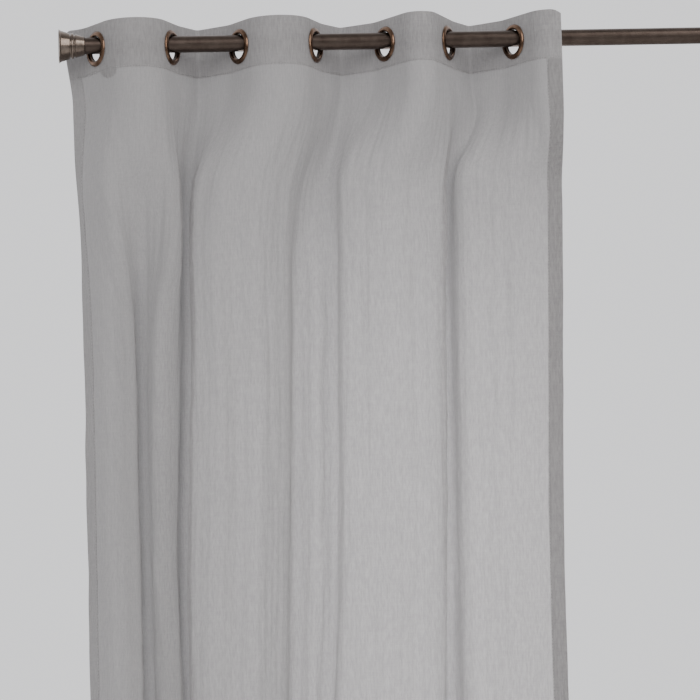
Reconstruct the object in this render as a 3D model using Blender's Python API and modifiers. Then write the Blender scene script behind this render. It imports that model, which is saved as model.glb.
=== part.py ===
"""A grommet-top sheer curtain panel hanging on its pole, with finials and wall brackets.

Frame: the origin is the centre of the left wall plate's back face, on the wall. +X runs along the pole,
+Y points into the wall and +Z is up. Lengths are in metres. The cloth is one sheet; it is divided here at its
fold lines into seven folds, one for each grommet, so that the panel can gather like a folding screen.
"""

import math

import bmesh
import bpy
from mathutils import Vector

# Pole, brackets and finials
POLE_RADIUS = 0.0127
POLE_WALL = 0.0010
POLE_LENGTH = 1.219
PROJECTION = 0.095
BRACKET_INSET = 0.0386
GAP = 0.0003

# Curtain panel
PANEL_HEIGHT = 2.134
GROMMET_SPACINGS = (0.115, 0.103, 0.1165, 0.1075, 0.097, 0.1015)
GROMMET_DROP = 0.0384
GROMMET_BELOW_POLE = 0.0050
FOLD_SLOPE = math.radians(62)
CLOTH_PER_GROMMET = 0.1625
RETURN_MARGIN = 0.070
LEADING_MARGIN = 0.095
HEADING_DEPTH = 0.076
CLOTH_THICKNESS = 0.0008
STIFFENER_THICKNESS = 0.0008
SIDE_HEM_WIDTH = 0.025
BOTTOM_HEM_DEPTH = 0.076

# Grommet
THROAT_RADIUS = 0.0187
BARREL_WALL = 0.0014
FLANGE_RADIUS = 0.0270
FRONT_DOME = 0.0042
BACK_DOME = 0.0046
CLOTH_HOLE_RADIUS = 0.0206

# The gap between two folds at the cloth and at the stiffener, on each side of the fold line
CLOTH_END_GAP = 0.0004
STIFFENER_END_GAP = 0.0013

RING_STEPS = 32
POLE_STEPS = 32
SCREW_STEPS = 16
ARC_STEPS = 7

# Worked out from the driving sizes
FOLDS = len(GROMMET_SPACINGS) + 1
HALF_FOLD = CLOTH_PER_GROMMET / 2
POLE_LEFT = -BRACKET_INSET
BRACKET_SPACING = POLE_LENGTH - 2 * BRACKET_INSET
FIRST_GROMMET_X = -0.021
GROMMET_Z = -GROMMET_BELOW_POLE
PANEL_TOP = GROMMET_Z + GROMMET_DROP
PANEL_BOTTOM = PANEL_TOP - PANEL_HEIGHT
HEADING_BOTTOM = PANEL_TOP - HEADING_DEPTH


def clear_scene():
    for obj in list(bpy.data.objects):
        bpy.data.objects.remove(obj)


def new_collection(name, hidden=False):
    collection = bpy.data.collections.new(name)
    collection.hide_render = hidden
    bpy.context.scene.collection.children.link(collection)
    return collection


def principled(name, colour, roughness, metallic):
    material = bpy.data.materials.new(name)
    material.use_nodes = True
    shader = material.node_tree.nodes["Principled BSDF"]
    shader.inputs["Base Color"].default_value = (*colour, 1.0)
    shader.inputs["Roughness"].default_value = roughness
    shader.inputs["Metallic"].default_value = metallic
    return material


def add_object(name, data, material, parent=None, location=(0, 0, 0), rotation=(0, 0, 0)):
    obj = bpy.data.objects.new(name, data)
    if material:
        data.materials.append(material)
    CURTAIN.objects.link(obj)
    obj.parent = parent
    obj.location = location
    obj.rotation_euler = rotation
    return obj


def add_empty(name, location):
    empty = bpy.data.objects.new(name, None)
    CURTAIN.objects.link(empty)
    empty.location = location
    return empty


def turned(name, profile, closed, steps, material, parent=None, location=(0, 0, 0), rotation=(0, 0, 0)):
    """A turned solid: a profile of (radius, height) points, revolved about its own Z axis."""
    count = len(profile)
    edges = [(i, i + 1) for i in range(count - 1)]
    if closed:
        edges.append((count - 1, 0))
    mesh = bpy.data.meshes.new(name)
    mesh.from_pydata([(radius, 0, height) for radius, height in profile], edges, [])
    obj = add_object(name, mesh, material, parent, location, rotation)
    screw = obj.modifiers.new("Turn", "SCREW")
    screw.steps = steps
    screw.render_steps = steps
    screw.use_merge_vertices = True
    screw.merge_threshold = 0.00001
    screw.use_smooth_shade = True
    return obj


def flat_outline(name, outlines, thickness, material, parent=None, location=(0, 0, 0), rotation=(0, 0, 0)):
    """A plate cut to one outer outline, with any further outlines as holes, in its own XY plane."""
    curve = bpy.data.curves.new(name, "CURVE")
    curve.dimensions = "2D"
    curve.fill_mode = "BOTH"
    curve.extrude = thickness / 2
    for outline in outlines:
        spline = curve.splines.new("POLY")
        spline.points.add(len(outline) - 1)
        for point, (x, y) in zip(spline.points, outline):
            point.co = (x, y, 0, 1)
        spline.use_cyclic_u = True
    return add_object(name, curve, material, parent, location, rotation)


def as_mesh(obj):
    """The same object as a mesh, with its caps welded, so that it can be cut."""
    bpy.context.view_layer.update()
    graph = bpy.context.evaluated_depsgraph_get()
    mesh = bpy.data.meshes.new_from_object(obj.evaluated_get(graph))
    shape = bmesh.new()
    shape.from_mesh(mesh)
    bmesh.ops.remove_doubles(shape, verts=shape.verts, dist=0.00001)
    shape.to_mesh(mesh)
    shape.free()
    name, parent, matrix = obj.name, obj.parent, obj.matrix_world.copy()
    bpy.data.objects.remove(obj)
    made = add_object(name, mesh, None, parent)
    made.matrix_world = matrix
    return made


def cut(obj, cutter):
    boolean = obj.modifiers.new("Cut " + cutter.name, "BOOLEAN")
    boolean.operation = "DIFFERENCE"
    boolean.object = cutter


def cylinder_cutter(name, radius, length, location, rotation, steps=RING_STEPS):
    mesh = bpy.data.meshes.new(name)
    shape = bmesh.new()
    bmesh.ops.create_cone(
        shape, cap_ends=True, segments=steps, radius1=radius, radius2=radius, depth=length
    )
    shape.to_mesh(mesh)
    shape.free()
    obj = bpy.data.objects.new(name, mesh)
    obj.location = location
    obj.rotation_euler = rotation
    obj.hide_render = True
    obj.display_type = "WIRE"
    CUTTERS.objects.link(obj)
    return obj


def arc(centre_x, centre_y, radius, start, end, steps):
    """Points on an arc of a circle, from the start angle to the end angle in degrees."""
    angles = [math.radians(start + (end - start) * i / steps) for i in range(steps + 1)]
    return [(centre_x + radius * math.cos(a), centre_y + radius * math.sin(a)) for a in angles]


def fold_half(spacing):
    """The straight length, bend radius and depth of half a fold that spans half of a grommet spacing."""
    full_bend = math.sin(FOLD_SLOPE) - FOLD_SLOPE * math.cos(FOLD_SLOPE)
    radius = (spacing / 2 - HALF_FOLD * math.cos(FOLD_SLOPE)) / full_bend
    straight = HALF_FOLD - radius * FOLD_SLOPE
    depth = straight * math.sin(FOLD_SLOPE) + radius * (1 - math.cos(FOLD_SLOPE))
    return straight, radius, depth


def spacings_beside(number):
    """The grommet spacings to the left and to the right of a fold's grommet; an end fold repeats its one."""
    left = GROMMET_SPACINGS[max(number - 2, 0)]
    right = GROMMET_SPACINGS[min(number, FOLDS - 1) - 1]
    return left, right


def fold_point(number, along):
    """The place and front normal, seen from above, at a distance along a fold from its grommet's centre.

    A fold is straight through its grommet and then bends, at each end, until it runs along the pole. An odd
    fold comes forward as it goes to the right, and an even one goes back.
    """
    side = fold_side(number)
    reach = abs(along)
    sign = math.copysign(1, along)
    flat, radius, _ = fold_half(spacings_beside(number)[0 if along < 0 else 1])
    bend = min(max(reach - flat, 0) / radius, FOLD_SLOPE)
    straight = min(reach, flat)
    level = max(reach - HALF_FOLD, 0)
    slope = FOLD_SLOPE - bend
    x = straight * math.cos(FOLD_SLOPE) + radius * (math.sin(FOLD_SLOPE) - math.sin(slope)) + level
    y = straight * math.sin(FOLD_SLOPE) + radius * (math.cos(slope) - math.cos(FOLD_SLOPE))
    heading = side * slope
    return Vector((sign * x, sign * side * y)), Vector((math.sin(heading), -math.cos(heading)))


def fold_path(number, start, end, offset):
    """Points along a fold, seen from above, shifted by an offset towards its front."""
    stops = {start, end}
    for sign, spacing in zip((-1, 1), spacings_beside(number)):
        flat = fold_half(spacing)[0]
        for i in range(ARC_STEPS + 1):
            stops.add(sign * (flat + (HALF_FOLD - flat) * i / ARC_STEPS))
    path = []
    for along in sorted(stop for stop in stops if start <= stop <= end):
        place, normal = fold_point(number, along)
        path.append(place + normal * offset)
    return path


def cloth_strip(name, path, bottom, top, thickness, material, parent, location):
    """A thin upright strip of cloth that follows a path seen from above."""
    mesh = bpy.data.meshes.new(name)
    shape = bmesh.new()
    row = [shape.verts.new((x, y, bottom)) for x, y in path]
    edges = [shape.edges.new(pair) for pair in zip(row, row[1:])]
    raised = bmesh.ops.extrude_edge_only(shape, edges=edges)["geom"]
    top_row = [item for item in raised if isinstance(item, bmesh.types.BMVert)]
    bmesh.ops.translate(shape, verts=top_row, vec=(0, 0, top - bottom))
    bmesh.ops.recalc_face_normals(shape, faces=shape.faces)
    shape.to_mesh(mesh)
    shape.free()
    strip = add_object(name, mesh, material, parent, location)
    solidify = strip.modifiers.new("Thickness", "SOLIDIFY")
    solidify.thickness = thickness
    solidify.offset = 0
    solidify.use_even_offset = True
    return strip


def front_grommet_profile():
    """The domed front flange and the barrel that goes through the cloth, as (radius, height) points."""
    seat = CLOTH_THICKNESS / 2 + GAP
    barrel_outer = THROAT_RADIUS + BARREL_WALL
    barrel_end = -(BACK_DOME - 0.0004)
    return [
        (THROAT_RADIUS, 0.0014),
        (THROAT_RADIUS + 0.0006, 0.0030),
        (THROAT_RADIUS + 0.0020, FRONT_DOME - 0.0002),
        (THROAT_RADIUS + 0.0034, FRONT_DOME),
        (FLANGE_RADIUS - 0.0022, FRONT_DOME - 0.0008),
        (FLANGE_RADIUS - 0.0006, 0.0022),
        (FLANGE_RADIUS, seat),
        (barrel_outer, seat),
        (barrel_outer, barrel_end),
        (THROAT_RADIUS + 0.0005, barrel_end),
        (THROAT_RADIUS, barrel_end + 0.0008),
    ]


def back_grommet_profile():
    """The back ring that snaps over the barrel and clamps the cloth and its stiffener."""
    seat = -(CLOTH_THICKNESS / 2 + GAP + STIFFENER_THICKNESS + GAP)
    inner = THROAT_RADIUS + BARREL_WALL + GAP
    return [
        (inner, seat),
        (FLANGE_RADIUS, seat),
        (FLANGE_RADIUS - 0.0008, seat - 0.0014),
        (FLANGE_RADIUS - 0.0026, -BACK_DOME),
        (inner + 0.0006, -BACK_DOME),
        (inner, -BACK_DOME + 0.0006),
    ]


def fold_side(number):
    """-1 for a fold that comes forward as it goes to the right, and +1 for one that goes back."""
    return -1 if number % 2 else 1


def grommet_centre(number):
    return Vector((FIRST_GROMMET_X + sum(GROMMET_SPACINGS[: number - 1]), -PROJECTION, GROMMET_Z))


def hinge_line(number):
    """Where a fold turns: the first at its own grommet, the others where they join the fold before."""
    if number == 1:
        return grommet_centre(1)
    spacing = GROMMET_SPACINGS[number - 2]
    depth = fold_half(spacing)[2]
    return grommet_centre(number - 1) + Vector((spacing / 2, fold_side(number - 1) * depth, 0))


def make_hems(number, ends, cloth, parent, location):
    """The second layer of cloth behind a fold: its length of the bottom hem and, on an end fold, its side hem."""
    start, end = ends
    behind = -(CLOTH_THICKNESS + GAP)
    side_hem = None
    if number == 1:
        side_hem = ("side_hem_return", start + 0.0005, start + SIDE_HEM_WIDTH)
        start += SIDE_HEM_WIDTH + GAP
    if number == FOLDS:
        side_hem = ("side_hem_leading", end - SIDE_HEM_WIDTH, end - 0.0005)
        end -= SIDE_HEM_WIDTH + GAP
    if side_hem:
        name, first, last = side_hem
        path = fold_path(number, first, last, behind)
        bottom, top = PANEL_BOTTOM + 0.0005, HEADING_BOTTOM - 0.001
        cloth_strip(name, path, bottom, top, CLOTH_THICKNESS, cloth, parent, location)
    path = fold_path(number, start, end, behind)
    bottom, top = PANEL_BOTTOM + 0.0005, PANEL_BOTTOM + BOTTOM_HEM_DEPTH
    cloth_strip(f"bottom_hem_{number}", path, bottom, top, CLOTH_THICKNESS, cloth, parent, location)


def make_fold(number, cloth, stiffening, bronze):
    """One fold of the panel: its cloth and hems, its length of heading stiffener and its two-part grommet."""
    centre, hinge = grommet_centre(number), hinge_line(number)
    parent = add_empty(f"fold_{number}_hinge", hinge)
    at_grommet = centre - hinge
    above_origin = Vector((at_grommet.x, at_grommet.y, -hinge.z))
    edges = {
        gap: (
            -RETURN_MARGIN if number == 1 else gap - HALF_FOLD,
            LEADING_MARGIN if number == FOLDS else HALF_FOLD - gap,
        )
        for gap in (CLOTH_END_GAP, STIFFENER_END_GAP)
    }
    yaw = fold_side(number) * FOLD_SLOPE
    facing = (math.pi / 2, 0, yaw)
    hole = cylinder_cutter(f"grommet_hole_{number}", CLOTH_HOLE_RADIUS, 0.03, centre, facing)
    strip = cloth_strip(
        f"cloth_fold_{number}",
        fold_path(number, *edges[CLOTH_END_GAP], 0),
        PANEL_BOTTOM,
        PANEL_TOP,
        CLOTH_THICKNESS,
        cloth,
        parent,
        above_origin,
    )
    cut(strip, hole)
    behind = -(CLOTH_THICKNESS / 2 + GAP + STIFFENER_THICKNESS / 2)
    stiffener = cloth_strip(
        f"heading_stiffener_{number}",
        fold_path(number, *edges[STIFFENER_END_GAP], behind),
        HEADING_BOTTOM,
        PANEL_TOP - 0.001,
        STIFFENER_THICKNESS,
        stiffening,
        parent,
        above_origin,
    )
    cut(stiffener, hole)
    make_hems(number, edges[STIFFENER_END_GAP], cloth, parent, above_origin)
    for name, profile in (("front", front_grommet_profile()), ("back", back_grommet_profile())):
        turned(f"grommet_{name}_{number}", profile, True, RING_STEPS, bronze, parent, at_grommet, facing)


def make_pole(metal):
    inner = POLE_RADIUS - POLE_WALL
    profile = [(inner, POLE_LENGTH), (POLE_RADIUS, POLE_LENGTH), (POLE_RADIUS, 0), (inner, 0)]
    turned("pole", profile, True, POLE_STEPS, metal, None, (POLE_LEFT, -PROJECTION, 0), (0, math.pi / 2, 0))


def finial_profile():
    """The finial's body from its dished outer end to the plug that fits inside the pole."""
    plug = POLE_RADIUS - POLE_WALL - GAP
    return [
        (0, 0.0364),
        (0.0238, 0.0364),
        (0.0242, 0.0394),
        (0.0259, 0.0394),
        (0.0257, 0.0382),
        (0.0243, 0.0370),
        (0.0197, 0.0234),
        (0.0194, 0.0229),
        (0.0172, 0.0229),
        (0.0172, 0.0211),
        (0.0189, 0.0205),
        (0.0194, 0.0188),
        (0.0189, 0.0171),
        (0.0168, 0.0165),
        (0.0166, 0.0147),
        (0.0176, 0.0141),
        (0.0178, 0.0134),
        (0.0143, 0.0009),
        (0.0138, GAP),
        (plug, GAP),
        (plug, -0.0185),
        (plug - 0.0012, -0.0200),
        (0, -0.0200),
    ]


def make_finial(side, metal):
    """A flared finial with its end cap; the side is -1 at the pole's left end and +1 at its right end."""
    end_x = POLE_LEFT if side < 0 else POLE_LEFT + POLE_LENGTH
    label = "left" if side < 0 else "right"
    seat = add_empty(f"finial_{label}_seat", (end_x, -PROJECTION, 0))
    turn = (0, side * math.pi / 2, 0)
    turned(f"finial_{label}", finial_profile(), False, POLE_STEPS, metal, seat, (0, 0, 0), turn)
    cap = [(0, 0.0391), (0.0206, 0.0387), (0.0234, 0.0379), (0.0235, 0.0364 + GAP), (0, 0.0364 + GAP)]
    turned(f"finial_cap_{label}", cap, False, POLE_STEPS, metal, seat, (0, 0, 0), turn)


def cradle_outline():
    """The cradle seen along the pole: a cup open at the top, with its inside just clear of the pole."""
    inner, outer, back_lip, front_lip = POLE_RADIUS + GAP, POLE_RADIUS + 0.0038, 0.0060, 0.0020
    middle = (inner + outer) / 2
    rim = (outer - inner) / 2
    outline = arc(0, 0, outer, -180, 0, 20)
    outline += arc(middle, back_lip, rim, 0, 180, 6)
    outline += arc(0, 0, inner, 0, -180, 20)
    outline += arc(-middle, front_lip, rim, 0, 180, 6)
    return outline


def make_bracket(label, centre_x, metal):
    """A wall bracket: plate, arm and cradle, with two wall screws and a clamp screw under the pole."""
    plate_width, plate_height, plate_thickness, screw_height = 0.026, 0.064, 0.003, 0.021
    straight = (plate_height - plate_width) / 2
    round_end = plate_width / 2
    plate = arc(0, straight, round_end, 0, 180, 16) + arc(0, -straight, round_end, 180, 360, 16)
    holes = [arc(0, side * screw_height, 0.0024, 360, 22.5, 15) for side in (-1, 1)]
    upright = (math.pi / 2, 0, 0)
    flat_outline(
        f"wall_plate_{label}",
        [plate, *holes],
        plate_thickness,
        metal,
        None,
        (centre_x, -plate_thickness / 2, 0),
        upright,
    )
    arm_end = PROJECTION - POLE_RADIUS - 0.0038 - GAP
    arm_start = plate_thickness + GAP
    arm = [
        (0, arm_end),
        (0.0048, arm_end),
        (0.0050, arm_end - 0.0006),
        (0.0045, arm_end - 0.012),
        (0.0042, 0.030),
        (0.0046, 0.014),
        (0.0066, 0.008),
        (0.0104, arm_start + 0.0022),
        (0.0108, arm_start),
        (0, arm_start),
    ]
    turned(f"bracket_arm_{label}", arm, False, 24, metal, None, (centre_x, 0, 0), upright)
    # The outline's own X and Y stand along +Y and +Z here, so its back lip is the one near the wall.
    cradle = flat_outline(
        f"cradle_{label}",
        [cradle_outline()],
        0.010,
        metal,
        None,
        (centre_x, -PROJECTION, 0),
        (math.pi / 2, 0, math.pi / 2),
    )
    cradle = as_mesh(cradle)
    hole_place = (centre_x, -PROJECTION, -POLE_RADIUS - 0.003)
    cut(cradle, cylinder_cutter(f"clamp_hole_{label}", 0.0024, 0.012, hole_place, (0, 0, 0), 24))
    screw_top = -POLE_RADIUS - GAP
    clamp = [
        (0, 0),
        (0.0014, 0),
        (0.0020, -0.0006),
        (0.0020, -0.0050),
        (0.0032, -0.0052),
        (0.0050, -0.0064),
        (0.0052, -0.0105),
        (0.0046, -0.0116),
        (0, -0.0118),
    ]
    seat = add_empty(f"clamp_axis_{label}", (centre_x, -PROJECTION, screw_top))
    turned(f"clamp_screw_{label}", clamp, False, SCREW_STEPS, metal, seat)
    wall_screw = [
        (0, 0.0058),
        (0.0016, 0.0057),
        (0.0034, 0.0048),
        (0.0040, plate_thickness + GAP),
        (0.0020, plate_thickness + GAP),
        (0.0020, GAP),
        (0, GAP),
    ]
    for side, place in ((1, "upper"), (-1, "lower")):
        turned(
            f"wall_screw_{place}_{label}",
            wall_screw,
            False,
            SCREW_STEPS,
            metal,
            None,
            (centre_x, 0, side * screw_height),
            upright,
        )


clear_scene()
CURTAIN = new_collection("curtain_panel")
CUTTERS = new_collection("cutters", hidden=True)
BRONZE = principled("antique_bronze", (0.16, 0.12, 0.10), 0.35, 0.9)
CLOTH = principled("grey_sheer_cloth", (0.40, 0.39, 0.385), 0.85, 0.0)
STIFFENING = principled("heading_stiffening", (0.42, 0.41, 0.40), 0.9, 0.0)

make_pole(BRONZE)
for pole_end in (-1, 1):
    make_finial(pole_end, BRONZE)
make_bracket("left", 0.0, BRONZE)
make_bracket("right", BRACKET_SPACING, BRONZE)
for fold_number in range(1, FOLDS + 1):
    make_fold(fold_number, CLOTH, STIFFENING, BRONZE)
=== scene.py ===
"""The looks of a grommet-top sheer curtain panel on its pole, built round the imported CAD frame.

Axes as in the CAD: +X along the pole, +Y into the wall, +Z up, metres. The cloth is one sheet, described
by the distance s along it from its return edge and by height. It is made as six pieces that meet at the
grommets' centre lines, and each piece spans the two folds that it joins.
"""

import math

import bmesh
import bpy
import numpy as np
from mathutils import Matrix, Vector


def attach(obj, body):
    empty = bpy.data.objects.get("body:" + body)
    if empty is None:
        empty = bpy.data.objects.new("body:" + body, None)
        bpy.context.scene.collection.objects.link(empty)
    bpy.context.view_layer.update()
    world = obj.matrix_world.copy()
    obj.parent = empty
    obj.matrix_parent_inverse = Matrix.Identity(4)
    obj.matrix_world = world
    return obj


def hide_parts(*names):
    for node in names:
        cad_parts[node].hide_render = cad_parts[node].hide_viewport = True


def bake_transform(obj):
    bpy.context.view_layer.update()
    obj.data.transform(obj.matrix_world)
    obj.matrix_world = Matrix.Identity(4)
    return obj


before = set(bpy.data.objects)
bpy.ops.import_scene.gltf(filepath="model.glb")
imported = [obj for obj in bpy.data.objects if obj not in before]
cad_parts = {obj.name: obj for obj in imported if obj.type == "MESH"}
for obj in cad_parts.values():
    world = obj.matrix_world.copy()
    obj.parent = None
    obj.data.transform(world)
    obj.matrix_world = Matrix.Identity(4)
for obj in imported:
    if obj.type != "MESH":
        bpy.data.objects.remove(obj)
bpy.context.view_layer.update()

# Sizes that the CAD is built from
POLE_RADIUS = 0.0127
POLE_LEFT = -0.0386
POLE_LENGTH = 1.219
PROJECTION = 0.095
PANEL_HEIGHT = 2.134
SPACINGS = (0.115, 0.103, 0.1165, 0.1075, 0.097, 0.1015)
CLOTH_PER_GROMMET = 0.1625
RETURN_MARGIN = 0.070
LEADING_MARGIN = 0.095
FIRST_GROMMET_X = -0.021
GROMMET_Z = -0.0050
PANEL_TOP = GROMMET_Z + 0.0384
PANEL_BOTTOM = PANEL_TOP - PANEL_HEIGHT
HEADING_BOTTOM = PANEL_TOP - 0.076
FOLD_SLOPE = math.radians(62)
HALF_FOLD = CLOTH_PER_GROMMET / 2
THROAT_RADIUS = 0.0187
FLANGE_RADIUS = 0.0270
SIDE_HEM = 0.025
BOTTOM_HEM = 0.076
FOLDS = len(SPACINGS) + 1
CLOTH_WIDTH = RETURN_MARGIN + CLOTH_PER_GROMMET * (FOLDS - 1) + LEADING_MARGIN
RING_S = [RETURN_MARGIN + CLOTH_PER_GROMMET * k for k in range(FOLDS)]
RING_X = [FIRST_GROMMET_X + sum(SPACINGS[:k]) for k in range(FOLDS)]

# The heading's folds behind the pole: how far the cloth is straight beside a grommet, where its bend ends,
# and how far the crease lies aside of the middle
STRAIGHT_END = 0.022
BEND_END = 0.034
CREASE_ASIDE = 0.008

# Turned-over layers, the holes behind the grommets, and the machine stitches. A thread's end and middle have
# a half width and a rise over the cloth.
HOLE_RADIUS = 0.0205
LAYER_DEPTH = 0.0011
TURN_WIDTH = 0.003
STITCH_INSET = 0.0022
PITCH_ACROSS, LENGTH_ACROSS = 0.0042, 0.0031
PITCH_DOWN, LENGTH_DOWN = 0.0050, 0.0036
THREAD_DEPTH = 0.0014
THREAD_END = (0.00022, 0.00002)
THREAD_MIDDLE = (0.00036, 0.00034)

TURNED_STEPS = 96
UP = (0, 0, 1)


def smooth(value):
    """An even rise from 0 to 1, as the value goes from 0 to 1."""
    value = np.clip(value, 0, 1)
    return value * value * (3 - 2 * value)


def add_object(name, data):
    obj = bpy.data.objects.new(name, data)
    bpy.context.scene.collection.objects.link(obj)
    return obj


def fold_side(k):
    """Which way the cloth slants at a grommet: towards the room along +X, or towards the wall."""
    return -1 if k % 2 == 0 else 1


def shade_smooth(mesh):
    mesh.polygons.foreach_set("use_smooth", [True] * len(mesh.polygons))


# ---------------------------------------------------------------- camera

CAMERA_PLACE = (-0.213, -5.095, -0.981)
CAMERA_ANGLES = (4.0, 5.23, -1.75)
CAMERA_LENS = 171.4
CAMERA_SHIFT = (0.20, 0.05)


def make_camera():
    """A long lens from the left and below, tilted slightly, as a product picture of a curtain's heading."""
    data = bpy.data.cameras.new("camera")
    camera = add_object("camera", data)
    yaw, pitch, roll = (math.radians(a) for a in CAMERA_ANGLES)
    forward = Vector((math.sin(yaw) * math.cos(pitch), math.cos(yaw) * math.cos(pitch), math.sin(pitch)))
    level = Vector((math.cos(yaw), -math.sin(yaw), 0))
    upright = level.cross(forward)
    right = level * math.cos(roll) + upright * math.sin(roll)
    up = upright * math.cos(roll) - level * math.sin(roll)
    turn = Matrix((right, up, -forward)).transposed().to_4x4()
    camera.matrix_world = Matrix.Translation(CAMERA_PLACE) @ turn
    data.lens = CAMERA_LENS
    data.sensor_width = 36
    data.shift_x, data.shift_y = CAMERA_SHIFT
    data.clip_start, data.clip_end = 0.1, 60
    bpy.context.scene.camera = camera


make_camera()

# ---------------------------------------------------------------- the cloth's shape


def fold_half(spacing):
    """The straight length and bend radius of half a fold that spans half of a grommet spacing."""
    full_bend = math.sin(FOLD_SLOPE) - FOLD_SLOPE * math.cos(FOLD_SLOPE)
    radius = (spacing / 2 - HALF_FOLD * math.cos(FOLD_SLOPE)) / full_bend
    return HALF_FOLD - radius * FOLD_SLOPE, radius


def leg(slope, length):
    """Half of a creased fold: straight beside its grommet, then at another slope as far as the crease."""
    along = np.linspace(0, length, 241)
    stops = (0, STRAIGHT_END, BEND_END, length)
    angle = np.interp(along, stops, (FOLD_SLOPE, FOLD_SLOPE, slope, slope))
    step = along[1]
    return along, angle, float(np.cos(angle).sum() * step), float(np.sin(angle).sum() * step)


def leg_reaching(length, reach):
    """The leg of this length that reaches this far along the pole."""
    low, high = 0.0, math.pi / 2
    for _ in range(30):
        slope = (low + high) / 2
        low, high = (slope, high) if leg(slope, length)[2] > reach else (low, slope)
    return leg(slope, length)


def creased_fold(spacing, aside):
    """Distances and directions along a fold whose back is a crease, which lies aside of the middle."""
    low, high = HALF_FOLD * 0.8, HALF_FOLD * 1.1
    for _ in range(30):
        length = (low + high) / 2
        left = leg_reaching(length, spacing / 2 - aside)
        right = leg_reaching(CLOTH_PER_GROMMET - length, spacing / 2 + aside)
        low, high = (length, high) if left[3] < right[3] else (low, length)
    along = np.concatenate([left[0][:-1], CLOTH_PER_GROMMET - right[0][::-1][1:]])
    return along, np.concatenate([left[1][:-1], -right[1][::-1][1:]])


def heading_angle(s):
    """The cloth's direction seen from above along the heading: round crests in front, creases at the back."""
    angle = np.zeros_like(s)
    for k, centre in enumerate(RING_S):
        for sign in (-1, 1):
            spacing = SPACINGS[min(max(k - 1 if sign < 0 else k, 0), FOLDS - 2)]
            flat, radius = fold_half(spacing)
            reach = (s - centre) * sign
            here = (reach >= 0) & (reach <= HALF_FOLD)
            bend = np.clip((reach - flat) / radius, 0, FOLD_SLOPE)
            angle = np.where(here, fold_side(k) * (FOLD_SLOPE - bend), angle)
    for k in range(1, FOLDS - 1, 2):
        along, direction = creased_fold(SPACINGS[k], CREASE_ASIDE)
        here = (s > RING_S[k]) & (s < RING_S[k + 1])
        angle = np.where(here, np.interp(s - RING_S[k], along, direction), angle)
    return angle


def waves(rng, count, across, down):
    """A smooth random field over the cloth: a sum of cosines, mostly between -1 and 1."""
    kx = rng.normal(0, 1 / across, count)
    kz = rng.normal(0, 1 / down, count)
    phase = rng.uniform(0, 2 * math.pi, count)

    def field(s, z):
        total = np.zeros(np.broadcast(s, z).shape)
        for a, b, c in zip(kx, kz, phase):
            total = total + np.cos(2 * math.pi * (a * s + b * z) + c)
        return total / math.sqrt(count)

    return field


RNG = np.random.default_rng(11)
SHIFT_FIELD = waves(RNG, 7, 0.30, 1.3)
DEPTH_FIELD = waves(RNG, 7, 0.22, 1.1)
FINE_FIELD = waves(RNG, 16, 0.040, 1.6)
CRUMPLE_FIELD = waves(RNG, 30, 0.017, 0.16)
PLEAT_SHIFT = 0.005
PLEAT_VARIETY = 0.08
FINE_TURN = math.radians(4)
CRUMPLE_DEPTH = 0.0008

# The hang below the heading: flat panels of cloth with deep narrow pleats between them. Each stretch of the
# cloth has its end along s and its direction seen from above, in degrees and plus towards the wall, first
# just below the heading and then lower down.
HANG = (
    (0.055, -55, -48),
    (0.100, -54, -16),
    (0.150, -25, 72),
    (0.200, 36, -72),
    (0.232, 64, 22),
    (0.303, 75, 66),
    (0.362, -72, -72),
    (0.420, -30, -26),
    (0.448, -22, 26),
    (0.478, 8, -30),
    (0.548, 28, 24),
    (0.592, 66, 62),
    (0.628, 60, -50),
    (0.656, -68, 44),
    (0.694, -70, -66),
    (0.780, -16, -12),
    (0.872, 16, 11),
    (0.934, 66, 62),
    (0.982, -72, -74),
    (1.060, -12, -9),
    (1.141, 8, 7),
)

# The valleys that run down from the heading's creases: distance along the cloth, place under the heading,
# and how far each drifts towards the return edge, quickly at first and then for each metre down
VALLEYS = (
    (0.303, 0.1297, 0.011, 0.033),
    (0.640, 0.3614, 0.025, 0.048),
    (0.934, 0.5695, 0.055, 0.022),
)

# How far below the heading the cloth takes to leave the rings' places along the pole, the heading's folds,
# and the first directions of the hang, and to drift in each of the two ways
FREE_DROP = 0.07
SHAPE_DROP = 0.20
SETTLE_DROP = 0.45
QUICK_DRIFT_DROP = 0.08
STEADY_DRIFT_DROP = 1.2
CRUMPLE_DROP = 0.12

# How far above the heading's lower edge the hang starts, and how far behind the pole's axis its middle is
HANG_START = 0.012
HANG_BACK = 0.003

# How the panel's edges leave their places at the heading: distance, the drop where the shift starts and the
# drop that it takes. Each shift fades out over a width of cloth.
LEFT_EDGE_SHIFTS = ((0.010, 0.02, 0.10), (0.006, 0.17, 0.2), (-0.005, 0.4, 0.7))
RIGHT_EDGE_SHIFTS = ((-0.001, 0.02, 0.13), (-0.0215, 0.15, 1.0))
LEFT_SHIFT_WIDTH = 0.045
RIGHT_SHIFT_WIDTH = 0.06

# The heading's two top corners droop: how far, over what height, and over what width at each side
CORNER_DROOP = 0.0065
CORNER_HEIGHT = 0.03
LEFT_CORNER = 0.010
RIGHT_CORNER = 0.016

# Soft creases that fall from the heading: place along the pole, half width, how far each stands out towards
# the room (behind, when below zero), and its top and bottom. Each fades in and out over a height.
CREASE_FADE_IN = 0.25
CREASE_FADE_OUT = 0.3
CREASES = (
    (0.226, 0.004, -0.0016, -0.20, -0.90),
    (0.349, 0.006, -0.0024, -0.06, -0.42),
    (0.4025, 0.005, -0.0014, -0.08, -0.60),
    (0.449, 0.005, -0.0012, -0.15, -0.80),
    (0.488, 0.005, -0.0022, -0.10, -3.0),
    (0.546, 0.005, -0.0020, -0.06, -0.45),
    (0.589, 0.006, -0.0026, -0.16, -3.0),
    (0.640, 0.006, -0.0016, -0.16, -3.0),
)

FINE_S = np.linspace(0, CLOTH_WIDTH, 1141)


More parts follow.
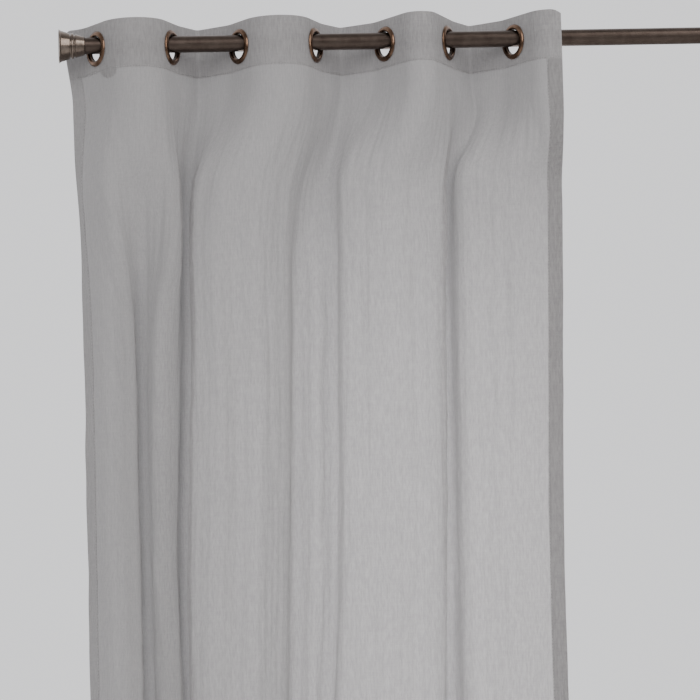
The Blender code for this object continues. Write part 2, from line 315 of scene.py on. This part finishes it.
def integrate(values):
    """The running sum of values that are given at FINE_S."""
    return np.concatenate([[0], np.cumsum((values[1:] + values[:-1]) / 2 * FINE_S[1])])


def bell(count):
    """Weights in the shape of a bell, which add up to 1."""
    weights = np.exp(-np.linspace(-2.5, 2.5, count) ** 2 / 2)
    return weights / weights.sum()


def blurred(values, kernel):
    """The values, each averaged with its neighbours by the kernel's weights."""
    pad = len(kernel) // 2
    return np.convolve(np.pad(values, pad, mode="edge"), kernel, mode="valid")


BLUR = bell(51)
TIGHT = bell(13)


def heading_plan(angle):
    """The heading's places seen from above, with each grommet's centre on the pole's axis."""
    x = integrate(np.cos(angle))
    y = integrate(np.sin(angle))
    x = x + np.interp(FINE_S, RING_S, np.array(RING_X) - np.interp(RING_S, FINE_S, x))
    y = y + np.interp(FINE_S, RING_S, -PROJECTION - np.interp(RING_S, FINE_S, y))
    return x, y


TOP_ANGLE = blurred(heading_angle(FINE_S), TIGHT)
TOP_X, TOP_Y = heading_plan(TOP_ANGLE)


def edge_place(top, shifts, z):
    """Where one of the panel's edges hangs, by height."""
    drop = PANEL_TOP - z
    for distance, start, length in shifts:
        top = top + distance * smooth((drop - start) / length)
    return top


def valley_places(z):
    """Where the valleys run, by height."""
    drop = HEADING_BOTTOM - z
    quick_share = 1 - math.exp(-drop / QUICK_DRIFT_DROP)
    steady_drop = min(drop, STEADY_DRIFT_DROP)
    return [top - quick * quick_share - steady * steady_drop for _, top, quick, steady in VALLEYS]


def hang_angle(z, slow):
    """The cloth's direction seen from above, below the heading, before it is fitted to the room it has."""
    ends, early, late = (np.array(column) for column in zip(*HANG))
    place = FINE_S + PLEAT_SHIFT * SHIFT_FIELD(FINE_S, z)
    which = np.clip(np.searchsorted(ends, place), 0, len(HANG) - 1)
    angle = np.radians(early * (1 - slow) + late * slow)[which]
    return blurred(angle * (1 + PLEAT_VARIETY * DEPTH_FIELD(FINE_S, z)), BLUR)


def width_scale(angle, stops, places):
    """How much steeper each stretch of the cloth turns, so that it spans the room between its two places."""
    scale = np.ones_like(angle)
    for k in range(len(stops) - 1):
        here = (FINE_S >= stops[k]) & (FINE_S <= stops[k + 1])
        low, high = 0.4, 1.35
        for _ in range(18):
            middle = (low + high) / 2
            width = np.cos(angle[here] * middle).mean() * (stops[k + 1] - stops[k])
            low, high = (middle, high) if width > places[k + 1] - places[k] else (low, middle)
        scale[here] = middle
    return scale


def plan_row(s, z):
    """The cloth's places and directions seen from above at one height."""
    left = edge_place(TOP_X[0], LEFT_EDGE_SHIFTS, z)
    right = edge_place(TOP_X[-1], RIGHT_EDGE_SHIFTS, z)
    x = TOP_X + (left - TOP_X[0]) * smooth(1 - FINE_S / LEFT_SHIFT_WIDTH)
    x = x + (right - TOP_X[-1]) * smooth(1 - (CLOTH_WIDTH - FINE_S) / RIGHT_SHIFT_WIDTH)
    y = TOP_Y
    angle = TOP_ANGLE
    drop = HEADING_BOTTOM + HANG_START - z
    if drop > 0:
        free = smooth(drop / FREE_DROP)
        share = smooth(drop / SHAPE_DROP)
        slow = smooth(drop / SETTLE_DROP)
        angle = angle * (1 - share) + hang_angle(z, slow) * share
        angle = angle + FINE_TURN * share * FINE_FIELD(FINE_S, z)
        stops = np.array([0, *[valley[0] for valley in VALLEYS], CLOTH_WIDTH])
        hung_places = np.array([left, *valley_places(z), right])
        places = np.interp(stops, FINE_S, x) * (1 - share) + hung_places * share
        angle = angle * blurred(width_scale(angle, stops, places), TIGHT)
        across = integrate(np.cos(angle)) + left
        across = across + np.interp(FINE_S, stops, places - np.interp(stops, FINE_S, across))
        hung = integrate(np.sin(angle))
        hung = hung - np.polyfit(FINE_S, hung, 1)[0] * FINE_S
        hung = hung - (hung.max() + hung.min()) / 2 - PROJECTION + HANG_BACK
        x = x * (1 - free) + across * free
        y = y * (1 - share) + hung * share
    return np.interp(s, FINE_S, x), np.interp(s, FINE_S, y), np.interp(s, FINE_S, angle)


def make_columns():
    """Distances along the cloth, about 3 mm apart, with a column at each grommet's centre line."""
    parts = [np.linspace(0, RING_S[0], 25)[:-1]]
    for k in range(FOLDS - 1):
        parts.append(np.linspace(RING_S[k], RING_S[k + 1], 55)[:-1])
    parts.append(np.linspace(RING_S[-1], CLOTH_WIDTH, 33))
    return np.concatenate(parts)


def make_rows():
    """Heights from the top edge down, close together in the heading and hems and wider between."""
    rows = list(np.linspace(PANEL_TOP, HEADING_BOTTOM, 20))
    step, growth, widest = 0.004, 1.12, 0.0115
    while rows[-1] - step > PANEL_BOTTOM + BOTTOM_HEM:
        rows.append(rows[-1] - step)
        step = min(step * growth, widest)
    rows += list(np.linspace(PANEL_BOTTOM + BOTTOM_HEM, PANEL_BOTTOM, 9))
    return np.array(rows)


COLUMNS = make_columns()
ROWS = make_rows()


def cloth_grid():
    """Every point of the cloth and the direction that its front faces, as rows by columns."""
    points = np.zeros((len(ROWS), len(COLUMNS), 3))
    fronts = np.zeros_like(points)
    for i, z in enumerate(ROWS):
        x, y, angle = plan_row(COLUMNS, z)
        front_x, front_y = np.sin(angle), -np.cos(angle)
        loose = smooth((HEADING_BOTTOM - z) / CRUMPLE_DROP)
        push = CRUMPLE_DEPTH * CRUMPLE_FIELD(COLUMNS, z) * loose
        for place, half, stand, start, end in CREASES:
            fade = smooth((start - z) / CREASE_FADE_IN) * smooth((z - end) / CREASE_FADE_OUT)
            push = push + stand * fade * np.exp(-(((x - place) / half) ** 2))
        left_corner = np.maximum(1 - COLUMNS / LEFT_CORNER, 0) ** 2
        right_corner = np.maximum(1 - (CLOTH_WIDTH - COLUMNS) / RIGHT_CORNER, 0) ** 2
        near_top = smooth(1 - (PANEL_TOP - z) / CORNER_HEIGHT)
        droop = CORNER_DROOP * (left_corner + right_corner) * near_top
        points[i] = np.stack([x + front_x * push, y + front_y * push, z - droop], axis=1)
        fronts[i] = np.stack([front_x, front_y, np.zeros_like(x)], axis=1)
    return points, fronts


def grid_normals(points):
    """Smooth normals over the whole sheet, so that its pieces meet without a visible line."""
    across = np.gradient(points, axis=1)
    down = np.gradient(points, axis=0)
    normals = np.cross(down, across)
    normals /= np.linalg.norm(normals, axis=2, keepdims=True)
    return normals


POINTS, FRONTS = cloth_grid()
NORMALS = grid_normals(POINTS)


def in_grommet(row, column):
    """Whether a corner of the cloth's grid is inside a grommet's hole."""
    nearest = min(abs(COLUMNS[column] - s) for s in RING_S)
    return math.hypot(nearest, ROWS[row] - GROMMET_Z) < HOLE_RADIUS


def sheet_mesh(name, rows, columns, offset, material):
    """A mesh of part of the cloth's grid. The offset moves it behind the cloth, by row and column."""
    index, vertices, normals, coords = {}, [], [], []
    for i in rows:
        for j in columns:
            index[i, j] = len(vertices)
            back = offset(i, j) if offset else 0
            vertices.append(POINTS[i, j] - FRONTS[i, j] * back)
            normals.append(NORMALS[i, j])
            coords.append((COLUMNS[j], ROWS[i]))
    faces = []
    for a, b in zip(rows, rows[1:]):
        for c, d in zip(columns, columns[1:]):
            corners = ((a, c), (b, c), (b, d), (a, d))
            if any(in_grommet(*corner) for corner in corners):
                continue
            faces.append([index[corner] for corner in corners])
    used = sorted({v for face in faces for v in face})
    renumber = {old: new for new, old in enumerate(used)}
    mesh = bpy.data.meshes.new(name)
    mesh.from_pydata([vertices[v] for v in used], [], [[renumber[v] for v in face] for face in faces])
    layer = mesh.uv_layers.new(name="cloth")
    for loop in mesh.loops:
        layer.data[loop.index].uv = coords[used[loop.vertex_index]]
    shade_smooth(mesh)
    mesh.normals_split_custom_set_from_vertices([normals[v] for v in used])
    mesh.materials.append(material)
    return add_object(name, mesh)


# ---------------------------------------------------------------- materials


class Nodes:
    """A short way to add and join shader nodes in one material."""

    def __init__(self, name):
        self.material = bpy.data.materials.new(name)
        self.material.use_nodes = True
        self.tree = self.material.node_tree
        self.tree.nodes.clear()
        self.output = self.tree.nodes.new("ShaderNodeOutputMaterial")

    def add(self, kind, inputs=None, **settings):
        node = self.tree.nodes.new(kind)
        for key, value in settings.items():
            setattr(node, key, value)
        for key, value in (inputs or {}).items():
            self.put(node.inputs[key], value)
        return node

    def put(self, socket, value):
        if isinstance(value, bpy.types.NodeSocket):
            self.tree.links.new(value, socket)
        else:
            socket.default_value = value

    def noise(self, scale, detail=2.0, rough=0.5):
        """Noise in the object's own coordinates, at its own scale along each axis."""
        place = self.add("ShaderNodeTexCoord").outputs["Object"]
        scaled = self.add("ShaderNodeMapping", {"Vector": place, "Scale": scale}).outputs["Vector"]
        inputs = {"Vector": scaled, "Scale": 1.0, "Detail": detail, "Roughness": rough}
        return self.add("ShaderNodeTexNoise", inputs).outputs["Fac"]

    def remap(self, value, low, high, new_low, new_high):
        inputs = {"Value": value, "From Min": low, "From Max": high, "To Min": new_low, "To Max": new_high}
        return self.add("ShaderNodeMapRange", inputs).outputs["Result"]

    def math(self, operation, a, b):
        return self.add("ShaderNodeMath", {0: a, 1: b}, operation=operation).outputs["Value"]

    def weighted(self, a, a_share, b, b_share):
        return self.math("ADD", self.math("MULTIPLY", a, a_share), self.math("MULTIPLY", b, b_share))

    def mix(self, factor, a, b):
        node = self.add("ShaderNodeMix", data_type="RGBA")
        self.put(node.inputs["Factor"], factor)
        self.put(node.inputs["A"], a)
        self.put(node.inputs["B"], b)
        return node.outputs["Result"]

    def bump(self, height, distance, strength=1.0):
        inputs = {"Height": height, "Distance": distance, "Strength": strength}
        return self.add("ShaderNodeBump", inputs).outputs["Normal"]


# The span of the yarn noise that goes from its darkest and most open to its lightest and closest
YARN_LOW, YARN_HIGH = 0.40, 0.60


def cloth_material(name, colour, open_share, through_share=0.36, contrast=1.0):
    """Semi-sheer slub cloth: uneven upright yarns with a weft across them, slightly open between them."""
    n = Nodes(name)
    slub = n.noise((340, 340, 62), 3.0, 0.6)
    fine = n.noise((950, 950, 210), rough=0.6)
    strand = n.noise((420, 420, 7))
    weft = n.noise((42, 42, 640), rough=0.6)
    cloudy = n.noise((16, 16, 9))
    yarn = n.math("ADD", n.weighted(slub, 0.52, fine, 0.22), n.weighted(strand, 0.10, weft, 0.16))
    tone = n.weighted(n.remap(yarn, YARN_LOW, YARN_HIGH, 0.0, 1.0), 0.80, cloudy, 0.20)
    dark = (*[c * (1 - 0.20 * contrast) for c in colour], 1)
    light = (*[min(c * (1 + 0.17 * contrast), 1) for c in colour], 1)
    shade = n.mix(tone, dark, light)
    normal = n.bump(yarn, 0.0005, 0.45)
    front = n.add(
        "ShaderNodeBsdfPrincipled",
        {
            "Base Color": shade,
            "Roughness": 0.88,
            "Specular IOR Level": 0.2,
            "Sheen Weight": 0.2,
            "Sheen Roughness": 0.5,
            "Normal": normal,
        },
    )
    through = n.add("ShaderNodeBsdfTranslucent", {"Color": shade, "Normal": normal})
    body = n.add("ShaderNodeMixShader", {0: through_share, 1: front.outputs[0], 2: through.outputs[0]})
    surface = body
    if open_share:
        spread = 0.6 * contrast
        holes = n.remap(yarn, YARN_LOW, YARN_HIGH, open_share * (1 + spread), open_share * (1 - spread))
        clear = n.add("ShaderNodeBsdfTransparent")
        surface = n.add("ShaderNodeMixShader", {0: holes, 1: body.outputs[0], 2: clear.outputs[0]})
    n.put(n.output.inputs["Surface"], surface.outputs[0])
    return n.material


def metal_material(name, dark, light, roughness, brushed=(400, 400, 400), edge=None, cloudy=0.5):
    """Plated metal: cloudy patina, fine brushing and, where asked, bright edges that are part rubbed wear and
    part painted highlight.
    """
    n = Nodes(name)
    patina = n.noise((70, 70, 70), 4.0, 0.6)
    shade = n.mix(n.remap(patina, 0.35, 0.68, 0, 1), (*dark, 1), (*light, 1))
    # Pointiness lightens convex edges: part rubbed wear, part painted highlight.
    if edge:
        point = n.add("ShaderNodeNewGeometry").outputs["Pointiness"]
        wear_and_highlight = n.remap(point, 0.515, 0.58, 0.0, 1.0)
        shade = n.mix(wear_and_highlight, shade, (*edge, 1))
    grain = n.noise(brushed, 3.0, 0.6)
    uneven = n.weighted(patina, cloudy, grain, 1 - cloudy)
    rough = n.remap(uneven, 0.3, 0.7, roughness * 0.75, roughness * 1.3)
    metal = n.add(
        "ShaderNodeBsdfPrincipled",
        {
            "Base Color": shade,
            "Metallic": 1.0,
            "Roughness": rough,
            "Normal": n.bump(grain, 0.00004, 0.3),
        },
    )
    n.put(n.output.inputs["Surface"], metal.outputs[0])
    return n.material


CLOTH = cloth_material("grey_sheer_linen", (0.350, 0.340, 0.345), 0.075, 0.22, 0.85)
FACING = cloth_material("stiffened_heading", (0.82, 0.81, 0.815), 0.14, 0.60, 0.25)
# The turned hem layers are coloured much lighter than the cloth they are turned from: painted light that
# evens out the darker double layer.
HEM_PAINTED_LIGHT = cloth_material("turned_hem_painted_light", (0.66, 0.65, 0.655), 0.45, 0.65, 0.4)
THREAD = cloth_material("grey_thread", (0.58, 0.57, 0.575), 0.0)
# The bronze's bright edge colour is part rubbed wear and part painted highlight on the grommets' rims.
BRONZE = metal_material(
    "antique_bronze", (0.095, 0.056, 0.037), (0.23, 0.142, 0.096), 0.22, (900, 900, 900), (0.72, 0.50, 0.37)
)
PEWTER = metal_material(
    "brushed_pewter", (0.135, 0.106, 0.088), (0.26, 0.212, 0.180), 0.20, (1500, 50, 50)
)
POLE_METAL = metal_material(
    "satin_dark_bronze", (0.078, 0.058, 0.049), (0.106, 0.082, 0.070), 0.34, (30, 700, 700), cloudy=0.1
)
# The barrel inside the grommet's throat: its dull finish is its own, its near-black colour is painted shade
# for the throat's dark inside.
BARREL_BRONZE_PAINTED_SHADE = metal_material("dull_barrel_bronze_painted_shade", (0.030, 0.022, 0.018), (0.055, 0.040, 0.032), 0.55)
DARK_METAL = metal_material("dark_bracket_bronze", (0.066, 0.050, 0.041), (0.105, 0.082, 0.070), 0.36)
SCREW_METAL = metal_material("blackened_screw", (0.085, 0.066, 0.055), (0.15, 0.12, 0.10), 0.28)

# ---------------------------------------------------------------- the cloth's pieces


def on_cloth(field, s, z):
    """A grid field's value at any distance along the cloth and height."""
    i = min(max(int(np.searchsorted(-ROWS, -z)) - 1, 0), len(ROWS) - 2)
    j = min(max(int(np.searchsorted(COLUMNS, s)) - 1, 0), len(COLUMNS) - 2)
    v = (ROWS[i] - z) / (ROWS[i] - ROWS[i + 1])
    u = (s - COLUMNS[j]) / (COLUMNS[j + 1] - COLUMNS[j])
    top = field[i, j] * (1 - u) + field[i, j + 1] * u
    low = field[i + 1, j] * (1 - u) + field[i + 1, j + 1] * u
    return top * (1 - v) + low * v


def stitch_places(first, last):
    """The middles of the machine stitches in this span of the cloth, and whether each runs across it."""
    found = []
    for height in (HEADING_BOTTOM + STITCH_INSET, PANEL_BOTTOM + BOTTOM_HEM - STITCH_INSET):
        count = int((last - first) / PITCH_ACROSS)
        found += [(first + (i + 0.5) * PITCH_ACROSS, height, True) for i in range(count)]
    for s in (SIDE_HEM - STITCH_INSET, CLOTH_WIDTH - SIDE_HEM + STITCH_INSET):
        if first < s < last:
            count = int((HEADING_BOTTOM - PANEL_BOTTOM - BOTTOM_HEM) / PITCH_DOWN)
            found += [(s, HEADING_BOTTOM - (i + 0.5) * PITCH_DOWN, False) for i in range(count)]
    return found


def make_stitches(piece, first, last):
    """Short threads through both layers. Each swells at its middle and dips into the cloth at its ends."""
    vertices, faces = [], []
    for s, z, across in stitch_places(first, last):
        length = LENGTH_ACROSS if across else LENGTH_DOWN
        for n, t in enumerate((-0.5, -0.3, 0.3, 0.5)):
            half_width, rise = THREAD_END if n in (0, 3) else THREAD_MIDDLE
            place = (s + t * length, z) if across else (s, z + t * length)
            middle, front = Vector(on_cloth(POINTS, *place)), Vector(on_cloth(NORMALS, *place))
            along = front.cross(Vector(UP)) if across else Vector(UP)
            side = along.cross(front).normalized() * half_width
            high, low = middle + front * rise, middle + front * -THREAD_DEPTH
            vertices += [low - side, low + side, high + side, high - side]
            if n:
                b = len(vertices) - 8
                faces += [(b + i, b + (i + 1) % 4, b + 4 + (i + 1) % 4, b + 4 + i) for i in range(4)]
        b = len(vertices) - 16
        faces += [(b + 3, b + 2, b + 1, b), (b + 12, b + 13, b + 14, b + 15)]
    mesh = bpy.data.meshes.new(f"stitches_{piece + 1}")
    mesh.from_pydata(vertices, [], faces)
    shade_smooth(mesh)
    mesh.materials.append(THREAD)
    return add_object(mesh.name, mesh)


def ring_columns():
    """The column at each grommet's centre line."""
    return [int(np.argmin(abs(COLUMNS - s))) for s in RING_S]


def column_span(piece):
    """The columns of a piece of cloth: from its left grommet's centre line to its right one's."""
    lines = ring_columns()
    first = 0 if piece == 0 else lines[piece]
    last = len(COLUMNS) - 1 if piece == FOLDS - 2 else lines[piece + 1]
    return list(range(first, last + 1))


def layer_gap(distance):
    """How far a turned-over layer lies behind the cloth, by its distance from the fold at its edge."""
    return LAYER_DEPTH * min(max(distance / TURN_WIDTH, 0.0), 1.0)


# A piece's bending zone reaches this share of its spacing on each side of its middle, and leans at most this
# much
BEND_REACH = 0.30
STEEPEST_LEAN = 0.06


def bending_zone(piece):
    """The zone where a piece would bend: (start, width, lean).

    The zone keeps clear of the piece's two borders at every height, so that neighbours stay joined, and it
    leans as the folds do, which drift towards the return edge on their way down.
    """
    middle = (RING_X[piece] + RING_X[piece + 1]) / 2
    reach = SPACINGS[piece] * BEND_REACH
    borders = ring_columns()[piece : piece + 2]
    best = (middle, 0, 0)
    for lean in np.linspace(0, STEEPEST_LEAN, 25):
        left, right = (POINTS[:, j, 0] - lean * POINTS[:, j, 2] for j in borders)
        start, end = max(left.max(), middle - reach), min(right.min(), middle + reach)
        if end - start > best[1]:
            best = (float(start), float(end - start), float(lean))
    return best


def bend_with_folds(obj, piece):
    """Finds where the crest or valley between two grommets would bend, and bakes the piece's place into its
    mesh.
    """
    start, width, lean = bending_zone(piece)
    width = width / (1 + lean**2)
    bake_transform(obj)


def rows_between(top, bottom):
    """The rows from one height down to another."""
    return [i for i, z in enumerate(ROWS) if bottom - 1e-6 <= z <= top + 1e-6]


def cad_nodes(kind, piece):
    """The CAD nodes that a piece of cloth stands for. The last piece covers the last two folds."""
    folds = (piece + 1, FOLDS) if piece == FOLDS - 2 else (piece + 1,)
    return [f"{kind}_{fold}" for fold in folds]


def side_hem(side, edge_s, columns, material):
    """The turned layer along one of the panel's side edges."""
    return sheet_mesh(
        f"side_hem_layer_{side}",
        rows_between(HEADING_BOTTOM, PANEL_BOTTOM + BOTTOM_HEM),
        [j for j in columns if abs(COLUMNS[j] - edge_s) <= SIDE_HEM + 1e-4],
        lambda i, j: layer_gap(abs(COLUMNS[j] - edge_s)),
        material,
    )


def make_cloth():
    """Each piece's panel, heading facing, hems and stitches, with the CAD nodes that they stand for hidden.
    """
    for piece in range(FOLDS - 1):
        columns = column_span(piece)
        panel = sheet_mesh(f"panel_{piece + 1}", range(len(ROWS)), columns, None, CLOTH)
        facing = sheet_mesh(
            f"heading_facing_{piece + 1}",
            rows_between(PANEL_TOP, HEADING_BOTTOM),
            columns,
            lambda i, j: layer_gap(PANEL_TOP - ROWS[i]),
            FACING,
        )
        hem = sheet_mesh(
            f"bottom_hem_layer_{piece + 1}",
            rows_between(PANEL_BOTTOM + BOTTOM_HEM, PANEL_BOTTOM),
            columns,
            lambda i, j: layer_gap(ROWS[i] - PANEL_BOTTOM),
            HEM_PAINTED_LIGHT,
        )
        parts = [
            (panel, cad_nodes("cloth_fold", piece)),
            (facing, cad_nodes("heading_stiffener", piece)),
            (hem, cad_nodes("bottom_hem", piece)),
        ]
        if piece == 0:
            parts.append((side_hem("return", 0, columns, HEM_PAINTED_LIGHT), ["side_hem_return"]))
        if piece == FOLDS - 2:
            parts.append((side_hem("leading", CLOTH_WIDTH, columns, CLOTH), ["side_hem_leading"]))
        parts.append((make_stitches(piece, COLUMNS[columns[0]], COLUMNS[columns[-1]]), []))
        for part, nodes in parts:
            if nodes:
                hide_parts(*nodes)
            bend_with_folds(part, piece)


# ---------------------------------------------------------------- metalwork


def turned(name, profile, closed, centre, axis, material, across):
    """A turned solid: (radius, height) points revolved about an axis through a centre."""
    steps = TURNED_STEPS
    axis = Vector(axis).normalized()
    across = Vector(across)
    other = axis.cross(across)
    centre = Vector(centre)
    shape = bmesh.new()
    rings = []
    for radius, height in profile:
        if radius < 1e-7:
            rings.append([shape.verts.new(centre + axis * height)])
            continue
        ring = []
        for i in range(steps):
            a = 2 * math.pi * i / steps
            out = across * math.cos(a) + other * math.sin(a)
            ring.append(shape.verts.new(centre + axis * height + out * radius))
        rings.append(ring)
    pairs = list(zip(rings, rings[1:]))
    if closed:
        pairs.append((rings[-1], rings[0]))
    for a, b in pairs:
        for i in range(steps):
            j = (i + 1) % steps
            corners = [a[i % len(a)], a[j % len(a)], b[j % len(b)], b[i % len(b)]]
            corners = list(dict.fromkeys(corners))
            if len(corners) > 2:
                shape.faces.new(corners)
    bmesh.ops.recalc_face_normals(shape, faces=shape.faces)
    mesh = bpy.data.meshes.new(name)
    shape.to_mesh(mesh)
    shape.free()
    shade_smooth(mesh)
    mesh.set_sharp_from_angle(angle=math.radians(32))
    mesh.materials.append(material)
    return add_object(name, mesh)


def rounded(points, radius, steps=3):
    """The same open profile with each inner corner cut to a small curve."""
    out = [points[0]]
    for before, here, after in zip(points, points[1:], points[2:]):
        b, h, a = Vector(before), Vector(here), Vector(after)
        cut = min(radius, (b - h).length * 0.45, (a - h).length * 0.45)
        start, end = h + (b - h).normalized() * cut, h + (a - h).normalized() * cut
        for i in range(steps + 1):
            t = i / steps
            out.append(tuple(start * (1 - t) ** 2 + h * 2 * t * (1 - t) + end * t * t))
    out.append(points[-1])
    return out


def fold_frame(k):
    """A grommet's centre, the direction that its front faces, and the cloth's direction beside it."""
    heading = fold_side(k) * FOLD_SLOPE
    front = Vector((math.sin(heading), -math.cos(heading), 0))
    along = Vector((math.cos(heading), math.sin(heading), 0))
    return Vector((RING_X[k], -PROJECTION, GROMMET_Z)), front, along


def make_grommets():
    """Seven two-part grommets: a domed flange with its barrel, and a ring snapped on behind the cloth."""
    barrel = THROAT_RADIUS + 0.0014
    front_profile = [
        (THROAT_RADIUS, -0.0034),
        (THROAT_RADIUS, 0.0012),
        (THROAT_RADIUS + 0.0005, 0.0028),
        (THROAT_RADIUS + 0.0018, 0.0040),
        (THROAT_RADIUS + 0.0034, 0.0042),
        (FLANGE_RADIUS - 0.0022, 0.0034),
        (FLANGE_RADIUS - 0.0007, 0.0022),
        (FLANGE_RADIUS, 0.0010),
        (FLANGE_RADIUS - 0.0004, 0.0007),
        (barrel, 0.0007),
        (barrel, -0.0042),
        (THROAT_RADIUS + 0.0005, -0.0042),
    ]
    inner = THROAT_RADIUS + 0.0017
    back_profile = [
        (inner, -0.0018),
        (FLANGE_RADIUS, -0.0018),
        (FLANGE_RADIUS - 0.0008, -0.0032),
        (FLANGE_RADIUS - 0.0026, -0.0046),
        (inner + 0.0006, -0.0046),
        (inner, -0.0040),
    ]
    for k in range(FOLDS):
        centre, front, along = fold_frame(k)
        for part, profile in (("front", front_profile), ("back", back_profile)):
            shape = rounded(profile + profile[:1], 0.0005)
            ring = turned(f"eyelet_{part}_{k + 1}", shape[:-1], True, centre, front, BRONZE, along)
            # The barrel's inner faces get the near-black bronze, painted shade for the throat's dark inside.
            ring.data.materials.append(BARREL_BRONZE_PAINTED_SHADE)
            for face in ring.data.polygons:
                away = face.center - centre
                depth = away.dot(front)
                from_axis = (away - front * depth).length
                in_barrel = from_axis < THROAT_RADIUS + 0.0010 and depth < 0.0004
                face.material_index = 1 if in_barrel else 0
            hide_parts(f"grommet_{part}_{k + 1}")
            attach(ring, f"fold_{k + 1}")


def make_pole():
    """A thin-walled tube with its outer edges eased."""
    inner = POLE_RADIUS - 0.001
    edge = 0.0003
    profile = [(inner, 0), (POLE_RADIUS - edge, 0), (POLE_RADIUS, edge)]
    profile += [(POLE_RADIUS, POLE_LENGTH * i / 24) for i in range(1, 24)]
    profile += [(POLE_RADIUS, POLE_LENGTH - edge), (POLE_RADIUS - edge, POLE_LENGTH), (inner, POLE_LENGTH)]
    start = (POLE_LEFT, -PROJECTION, 0)
    pole = turned("pole_tube", profile, True, start, (1, 0, 0), POLE_METAL, UP)
    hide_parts("pole")
    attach(pole, "pole_and_brackets")


def finial_profile():
    """From the hollow for the cap, over the rim and down the flare to the beads, the foot and the plug."""
    plug = POLE_RADIUS - 0.0013
    return [
        (0, 0.0364),
        (0.0236, 0.0364),
        (0.0243, 0.0393),
        (0.0249, 0.0394),
        (0.0259, 0.0392),
        (0.0257, 0.0382),
        (0.0246, 0.0372),
        (0.0240, 0.0362),
        (0.0228, 0.0326),
        (0.0213, 0.0280),
        (0.0197, 0.0234),
        (0.0193, 0.0229),
        (0.0172, 0.0229),
        (0.0172, 0.0211),
        (0.0186, 0.0210),
        (0.0193, 0.0202),
        (0.0195, 0.0188),
        (0.0193, 0.0174),
        (0.0186, 0.0166),
        (0.0168, 0.0165),
        (0.0166, 0.0147),
        (0.0175, 0.0146),
        (0.0179, 0.0140),
        (0.0178, 0.0134),
        (0.0160, 0.0069),
        (0.0144, 0.0009),
        (0.0138, 0.0003),
        (plug, 0.0003),
        (plug, -0.0185),
        (plug - 0.0012, -0.0200),
        (0, -0.0200),
    ]


def make_finials():
    """A flared body with its plug, and a domed cap in its end, at each end of the pole."""
    cap = [(0, 0.0391), (0.0120, 0.0390), (0.0206, 0.0387), (0.0229, 0.0379), (0.0234, 0.0367), (0, 0.0367)]
    cap_shape = rounded(cap, 0.0005)
    body_shape = rounded(finial_profile(), 0.0003)
    for label, side, x in (("left", -1, POLE_LEFT), ("right", 1, POLE_LEFT + POLE_LENGTH)):
        place = (x, -PROJECTION, 0)
        outward = (side, 0, 0)
        body = turned(f"finial_body_{label}", body_shape, False, place, outward, PEWTER, UP)
        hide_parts(f"finial_{label}")
        end = turned(f"finial_end_{label}", cap_shape, False, place, outward, PEWTER, UP)
        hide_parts(f"finial_cap_{label}")
        for part in (body, end):
            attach(part, f"finial_{label}")


make_cloth()
make_grommets()
make_pole()
make_finials()
for node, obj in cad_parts.items():
    # The brackets and screws are seen as the CAD's own solids
    if node.startswith(("wall_plate", "bracket_arm", "cradle")):
        obj.data.materials.clear()
        obj.data.materials.append(DARK_METAL)
    elif "screw" in node:
        obj.data.materials.clear()
        obj.data.materials.append(SCREW_METAL)

# ---------------------------------------------------------------- floor and light


def area_light(name, place, target, width, height, power, colour):
    """A rectangular light at a place, turned towards a target."""
    data = bpy.data.lights.new(name, "AREA")
    data.shape, data.size, data.size_y = "RECTANGLE", width, height
    data.energy, data.color = power, colour
    light = add_object(name, data)
    light.location = place
    light.rotation_euler = (Vector(target) - Vector(place)).to_track_quat("-Z", "Y").to_euler()
    light.visible_camera = False
    return light


FLOOR_REACH = 14.0
FLOOR_GAP = 0.02


def make_floor():
    """A wide pale floor just below the panel."""
    shape = bmesh.new()
    bmesh.ops.create_grid(shape, x_segments=1, y_segments=1, size=FLOOR_REACH)
    bmesh.ops.translate(shape, verts=shape.verts, vec=(0.4, -0.3, PANEL_BOTTOM - FLOOR_GAP))
    mesh = bpy.data.meshes.new("floor")
    shape.to_mesh(mesh)
    shape.free()
    n = Nodes("pale_floor")
    tone = n.noise((3, 3, 3))
    shade = n.mix(tone, (0.70, 0.70, 0.69, 1), (0.76, 0.76, 0.75, 1))
    surface = n.add("ShaderNodeBsdfPrincipled", {"Base Color": shade, "Roughness": 0.6})
    n.put(n.output.inputs["Surface"], surface.outputs[0])
    mesh.materials.append(n.material)
    add_object("floor", mesh)


def make_world():
    """A pale room: bright behind the curtain, as a window wall is, and dimmer in front and overhead."""
    world = bpy.data.worlds.new("studio")
    bpy.context.scene.world = world
    world.use_nodes = True
    tree = world.node_tree
    background = tree.nodes["Background"]
    place = tree.nodes.new("ShaderNodeTexCoord")
    parts = tree.nodes.new("ShaderNodeSeparateXYZ")
    tree.links.new(place.outputs["Generated"], parts.inputs[0])
    behind = tree.nodes.new("ShaderNodeMapRange")
    behind.interpolation_type = "SMOOTHSTEP"
    tree.links.new(parts.outputs["Y"], behind.inputs["Value"])
    behind.inputs["From Min"].default_value = -0.35
    behind.inputs["From Max"].default_value = 0.75
    mix = tree.nodes.new("ShaderNodeMix")
    mix.data_type = "RGBA"
    tree.links.new(behind.outputs["Result"], mix.inputs["Factor"])
    mix.inputs["A"].default_value = (0.42, 0.415, 0.41, 1)
    mix.inputs["B"].default_value = (1.13, 1.13, 1.155, 1)
    tree.links.new(mix.outputs["Result"], background.inputs["Color"])
    background.inputs["Strength"].default_value = 1.0


make_floor()
make_world()
area_light("key", (-1.2, -3.8, 1.5), (0.3, -0.1, -0.6), 2.4, 2.8, 80, (1.0, 0.985, 0.975))
area_light("softbox", (2.5, -2.5, 1.5), (0.1, -0.1, -0.2), 1.6, 3.2, 55, (1.0, 0.97, 0.94))
window = area_light("window", (0.50, 0.34, -1.10), (0.50, -0.1, -1.10), 0.54, 1.6, 14, (1.0, 0.99, 1.0))
window.data.spread = math.radians(110)
